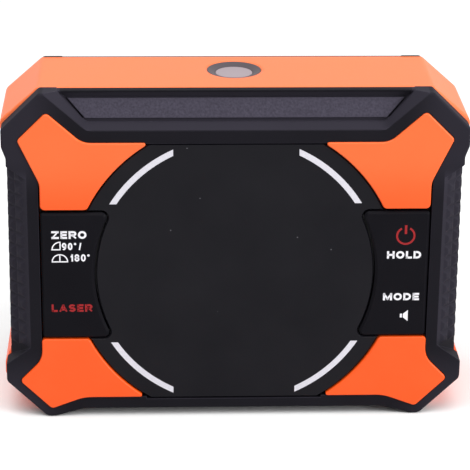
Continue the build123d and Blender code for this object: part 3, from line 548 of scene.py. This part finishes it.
# %% One finish for each piece
WEARS = {
    orange: ["case"],
    rubber: ["front_bumper"],
    rear_plastic: ["rear_cover"],
    door_plastic: ["battery_door"],
    key_plastic: ["left_key", "right_key"],
    smoked: ["display_window"],
    white_ink: ["dial_arcs"],
    foam: ["window_gasket"],
    grey_ring: ["laser_bezel"],
    pane: ["laser_window"],
    inner_black: ["key_switches", "processor", "tilt_sensor", "buzzer", "laser_cradle"],
    white_plastic: ["lcd_frame"],
    display: ["lcd_panel"],
    strip_rubber: ["contact_strips"],
    board: ["main_board"],
    brass: ["laser_barrel", "laser_diode"],
    lens: ["laser_lens"],
    jacket: ["cell_upper", "cell_lower"],
    nickel: ["contact_plates", "contact_springs", "base_magnets"],
    zinc: ["board_screws", "cradle_screws", "base_screws"],
    black_oxide: ["case_screws"],
    red_lead: ["battery_leads"],
    black_lead: ["laser_leads"],
    milled: ["base_plate"],
}

for finish, names in WEARS.items():
    for name in names:
        nodes[name].data.materials.clear()
        nodes[name].data.materials.append(finish)

bare = sorted(set(nodes) - {name for names in WEARS.values() for name in names})
print("pieces without a finish:", bare)

# %% [markdown]
# ## Words and signs on the keys
# The words are printed on the key caps, so they must follow the caps' slope and move with
# them. The real print is a heavy, wide alphabet, which a text object can only copy by
# swelling thin letters until they blot. Here each letter is a few strokes of a constant
# width, drawn in a unit square and then stretched to its place. Signs are drawn with the
# same strokes. All end as thin closed plates sunk halfway into the cap.

# %% Lay flat drawings on a key
KEY_FACE, KEY_FALL, KEY_FALL_END = -0.35, 0.15, 14.7
INK_PROUD, INK_SUNK = 0.02, 0.02


def cap_face(up):
    """How far a key's face lies behind the front face: it falls away from the middle."""
    return KEY_FACE + KEY_FALL * np.abs(up) / KEY_FALL_END


def printed(name, right, up, faces, finish, body):
    """A thin closed plate in the shape of a flat drawing, laid on a key's face.

    The drawing's points are given in millimetres from the dial's middle, and its faces
    turn anticlockwise as seen from the front. Walls join the rims of front and back.
    """
    count = len(right)
    face = cap_face(up)
    back = np.concatenate([face - INK_PROUD, face + INK_SUNK])
    points = np.stack([
        np.tile(right, 2) * MM, FRONT_Y + back * MM, DIAL_UP + np.tile(up, 2) * MM,
    ], axis=1)
    sides = [(a, b) for one in faces for a, b in zip(one, (*one[1:], one[0]))]
    rim = set(sides) - {(b, a) for a, b in sides}
    walls = [(b, a, a + count, b + count) for a, b in sorted(rim)]
    backs = [tuple(i + count for i in reversed(one)) for one in faces]
    mesh = bpy.data.meshes.new(name)
    mesh.from_pydata(points.tolist(), [], [*faces, *backs, *walls])
    mesh.materials.append(finish)
    piece = bpy.data.objects.new(name, mesh)
    bpy.context.scene.collection.objects.link(piece)
    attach(piece, body)


# %% Strokes
def arc(centre, radius, start, end, steps=24, tall=None):
    """Points on an arc: the centre plus the radius times cosine and sine, in degrees.

    With tall, the sine is multiplied by that instead, which makes an ellipse.
    """
    angle = np.radians(np.linspace(start, end, steps))
    return np.stack([centre[0] + radius * np.cos(angle),
                     centre[1] + (tall or radius) * np.sin(angle)], 1)


def ribbon(line, wide):
    """A strip of constant width along an open line: each point moved to both sides.

    The sideways direction is the line's local direction turned by a right angle.
    """
    along = np.gradient(line, axis=0)
    along /= np.linalg.norm(along, axis=1, keepdims=True)
    aside = np.stack([-along[:, 1], along[:, 0]], axis=1) * wide / 2
    points = np.concatenate([line + aside, line - aside])
    count = len(line)
    faces = [(i, i + count, i + count + 1, i + 1) for i in range(count - 1)]
    return points, faces


def sign(name, drawings, finish, body):
    """Several flat drawings joined into one printed plate."""
    points = np.concatenate([flat for flat, _ in drawings])
    starts = np.cumsum([0] + [len(flat) for flat, _ in drawings])
    faces = [tuple(int(i + start) for i in one)
             for start, (_, ones) in zip(starts, drawings) for one in ones]
    printed(name, points[:, 0], points[:, 1], faces, finish, body)


def line(*points):
    return np.array(points, float)


def segment(start, end, wide):
    return ribbon(line(start, end), wide)


def filled(*corners):
    """A solid drawing from its corners, listed anticlockwise."""
    return line(*corners), [tuple(range(len(corners)))]


# %% A heavy, wide alphabet
def ring(across, up, half_wide, half_tall):
    return arc((across, up), half_wide, 0, 360, 33, half_tall)


def bowl(from_x, middle, half_wide, half_tall):
    """A stroke that leaves a stem at the top, goes round and comes back to it below."""
    bend = arc((from_x, middle), half_wide, 90, -90, 17, half_tall)
    return np.concatenate([line((0, middle + half_tall)), bend, line((0, middle - half_tall))])


STEM = line((0, 0), (0, 1))
LETTERS = {   # width over height, then the strokes
    "Z": (1.05, [line((0, 1), (1, 1)), line((1, 1), (0, 0)), line((0, 0), (1, 0))]),
    "E": (0.95, [STEM, line((0, 1), (1, 1)), line((0, 0.5), (0.9, 0.5)), line((0, 0), (1, 0))]),
    "R": (1.1, [STEM, bowl(0.62, 0.72, 0.38, 0.28), line((0.5, 0.44), (1, 0))]),
    "O": (1.2, [ring(0.5, 0.5, 0.5, 0.5)]),
    "H": (1.1, [STEM, line((1, 0), (1, 1)), line((0, 0.5), (1, 0.5))]),
    "L": (0.9, [STEM, line((0, 0), (1, 0))]),
    "D": (1.1, [STEM, bowl(0.4, 0.5, 0.6, 0.5)]),
    "M": (1.3, [STEM, line((0, 1), (0.5, 0.1)), line((0.5, 0.1), (1, 1)), line((1, 1), (1, 0))]),
    "A": (1.2, [line((0, 0), (0.5, 1)), line((0.5, 1), (1, 0)), line((0.2, 0.25), (0.8, 0.25))]),
    "S": (1.0, [np.concatenate([arc((0.5, 0.75), 0.5, 20, 270, 17, 0.25),
                                arc((0.5, 0.25), 0.5, 90, -160, 17, 0.25)[1:]])]),
    "0": (0.64, [ring(0.5, 0.5, 0.5, 0.5)]),
    "1": (0.36, [line((1, 0), (1, 1)), line((0, 0.72), (1, 1))]),
    "8": (0.64, [ring(0.5, 0.76, 0.44, 0.24), ring(0.5, 0.26, 0.5, 0.26)]),
    "9": (0.64, [ring(0.5, 0.68, 0.5, 0.32), arc((0.4, 0.6), 0.6, 0, -115, 17, 0.6)]),
    "/": (0.3, [line((0, 0), (1, 1))]),
}
LETTER_GAP = 0.18       # between letters, over their height
DEGREE = "°"
DEGREE_R = 0.27         # half the room that the sign takes, in millimetres
DEGREE_RING_R, DEGREE_STROKE = DEGREE_R * 0.6, DEGREE_R * 0.75


def letter(symbol, left, low, wide, tall, stroke):
    """One letter's strokes, fitted to its box.

    A straight one is lengthened by half its width at each end. All are then trimmed to the
    box, which squares their ends.
    """
    if symbol == DEGREE:
        high = low + tall
        return [ribbon(ring(left + DEGREE_R, high - DEGREE_R, DEGREE_RING_R, DEGREE_RING_R),
                       DEGREE_STROKE)]
    drawings = []
    corner, room = np.array([left, low]), np.array([wide, tall])
    for path in LETTERS[symbol][1]:
        path = corner + stroke / 2 + path * (room - stroke)
        if len(path) == 2:
            for end, other in ((0, 1), (1, 0)):
                way = path[end] - path[other]
                path[end] += way / np.linalg.norm(way) * (stroke / 2)
        points, faces = ribbon(path, stroke)
        drawings.append((np.clip(points, corner, corner + room), faces))
    return drawings


def word(name, symbols, box, stroke, finish, body):
    """Letters side by side that fill a box on the key, their widths scaled to fit it."""
    left, low, right, high = box
    tall = high - low
    shares = [2 * DEGREE_R / tall if one == DEGREE else LETTERS[one][0] for one in symbols]
    gap = LETTER_GAP * tall
    unit = (right - left - gap * (len(symbols) - 1)) / sum(shares)
    drawings = []
    for one, share in zip(symbols, shares):
        drawings += letter(one, left, low, share * unit, tall, stroke)
        left += share * unit + gap
    sign(name, drawings, finish, body)


# %% Words
HEAVY, MEDIUM = 0.45, 0.34
WORDS = [
    ("word_zero", "ZERO", (-38.85, 8.35, -31.45, 10.1), HEAVY, key_ink, "left_rocker"),
    ("word_quarter_turn", "90°", (-36.7, 5.8, -33.65, 7.45), MEDIUM, key_ink, "left_rocker"),
    ("word_stroke", "/", (-33.15, 5.8, -32.55, 7.45), MEDIUM, key_ink, "left_rocker"),
    ("word_half_turn", "180°", (-34.95, 3.2, -30.85, 4.85), MEDIUM, key_ink, "left_rocker"),
    ("word_laser", "LASER", (-39.15, -8.45, -30.45, -6.7), HEAVY, red_ink, "left_rocker"),
    ("word_hold", "HOLD", (32.25, 3.44, 39.55, 5.14), HEAVY, key_ink, "right_rocker"),
    ("word_mode", "MODE", (31.75, -6.26, 39.5, -4.56), HEAVY, key_ink, "right_rocker"),
]
for name, symbols, box, stroke, finish, body in WORDS:
    word(name, symbols, box, stroke, finish, body)
print(len(WORDS), "words printed")

# %% Signs for the two turns
SIGN_STROKE = 0.26
HALF_STROKE = SIGN_STROKE / 2

# A quarter turn: an arc, an upright and a foot. The arc's centre is at the lower right.
QUARTER_X, QUARTER_UP, QUARTER_R = -37.05, 5.9, 1.7
QUARTER_LEFT, QUARTER_RIGHT, QUARTER_TOP = -38.93, -36.92, 7.73
sign("sign_quarter_turn", [
    ribbon(arc((QUARTER_X, QUARTER_UP), QUARTER_R, 180, 90), SIGN_STROKE),
    segment((QUARTER_X, QUARTER_UP - HALF_STROKE), (QUARTER_X, QUARTER_TOP), SIGN_STROKE),
    segment((QUARTER_LEFT, QUARTER_UP), (QUARTER_RIGHT, QUARTER_UP), SIGN_STROKE),
], key_ink, "left_rocker")

# A half turn: an arc over a foot, with an upright in the middle.
HALF_X, HALF_UP, HALF_R = -37.15, 3.15, 1.62
sign("sign_half_turn", [
    ribbon(arc((HALF_X, HALF_UP), HALF_R, 180, 0), SIGN_STROKE),
    segment((HALF_X, HALF_UP), (HALF_X, HALF_UP + HALF_R), SIGN_STROKE),
    segment((HALF_X - HALF_R - HALF_STROKE, HALF_UP),
            (HALF_X + HALF_R + HALF_STROKE, HALF_UP), SIGN_STROKE),
], key_ink, "left_rocker")

# %% Signs for power and sound
# On and off: a ring open at the top, with a bar in its gap.
POWER_X, POWER_UP, POWER_R = 36.1, 8.64, 1.85
POWER_STROKE, POWER_STEPS = 0.42, 48
POWER_OPEN_LEFT, POWER_OPEN_RIGHT = 118, 422        # in degrees, once round the ring
BAR_LOW, BAR_HIGH, BAR_WIDE = 9.04, 11.04, POWER_STROKE * 1.2
sign("sign_power", [
    ribbon(arc((POWER_X, POWER_UP), POWER_R, POWER_OPEN_LEFT, POWER_OPEN_RIGHT, POWER_STEPS),
           POWER_STROKE),
    segment((POWER_X, BAR_LOW), (POWER_X, BAR_HIGH), BAR_WIDE),
], red_ink, "right_rocker")

# Sound: a small box, a gap and a cone that opens to the right.
SOUND_UP = -9.86
BOX_LEFT, BOX_RIGHT, BOX_HALF = 35.55, 36.0, 0.45
CONE_LEFT, CONE_RIGHT, CONE_HALF, CONE_MOUTH_HALF = 36.2, 37.25, 0.42, 1.3
sign("sign_sound", [
    filled((BOX_LEFT, SOUND_UP - BOX_HALF), (BOX_RIGHT, SOUND_UP - BOX_HALF),
           (BOX_RIGHT, SOUND_UP + BOX_HALF), (BOX_LEFT, SOUND_UP + BOX_HALF)),
    filled((CONE_LEFT, SOUND_UP - CONE_HALF), (CONE_RIGHT, SOUND_UP - CONE_MOUTH_HALF),
           (CONE_RIGHT, SOUND_UP + CONE_MOUTH_HALF), (CONE_LEFT, SOUND_UP + CONE_HALF)),
], key_ink, "right_rocker")

# %% [markdown]
# ## Floor, world and lamps
# The level stands on a pale table, no larger than the lamps can keep white. One wide lamp
# above and in front of it gives most of the light, and a second one on the right lifts the
# grips on that side. The world lights the rest: dimmer for what it lights, and plain white
# for what looks at it, directly or in a gloss.

# %% The table
TABLE_HALF = 0.7
table_mesh = bpy.data.meshes.new("table")
table_mesh.from_pydata(
    [(x * TABLE_HALF, y * TABLE_HALF, 0.0) for x, y in ((-1, -1), (1, -1), (1, 1), (-1, 1))],
    [], [(0, 1, 2, 3)])
table = bpy.data.objects.new("table", table_mesh)
bpy.context.scene.collection.objects.link(table)


def seen_directly(where):
    """1 for what the camera sees directly, in a gloss or through glass, and 0 for light."""
    looks = where.node("ShaderNodeLightPath", output="Is Camera Ray")
    for ray in ("Is Glossy Ray", "Is Transmission Ray"):
        looks = where.math("MAXIMUM", looks, where.node("ShaderNodeLightPath", output=ray))
    return looks


def paper_patterns(where):
    """White paper to the eye, and a plain grey one to the light that it throws back."""
    cloud = clouds(where, 60.0)
    white = cloud.blend(screen(250, 250, 250), screen(253, 253, 253))
    return {"Base Color": seen_directly(where).blend(screen(214, 214, 214), white)}


table_mesh.materials.append(new_finish(
    "table_paper", {"Roughness": 0.9, "Specular IOR Level": 0.0}, paper_patterns))

# %% The world
WORLD_LIGHTS = 0.5

world = bpy.data.worlds.new("studio")
world.use_nodes = True
bpy.context.scene.world = world
background = world.node_tree.nodes["Background"]
background.inputs["Color"].default_value = (1.0, 1.0, 1.0, 1.0)
strength = WORLD_LIGHTS + seen_directly(Signal(world.node_tree)) * (1 - WORLD_LIGHTS)
world.node_tree.links.new(strength.socket, background.inputs["Strength"])

# %% The lamps
def soft_lamp(name, place, side, level):
    """A square lamp aimed at the dial. level is how bright a white face towards it looks.

    A white face at distance d from a small lamp of power P looks P / (pi d)^2 bright.
    """
    lamp_data = bpy.data.lights.new(name, "AREA")
    lamp_data.size = side
    aim = Vector((0, 0, DIAL_UP)) - Vector(place)
    lamp_data.energy = level * (pi * aim.length) ** 2
    lamp = bpy.data.objects.new(name, lamp_data)
    lamp.location = place
    lamp.rotation_mode = "QUATERNION"
    lamp.rotation_quaternion = aim.to_track_quat("-Z", "Y")
    bpy.context.scene.collection.objects.link(lamp)


soft_lamp("lamp_above", place=(-0.1, -0.25, 0.9), side=0.9, level=0.95)
soft_lamp("lamp_right", place=(0.8, -0.4, 0.35), side=0.4, level=0.6)
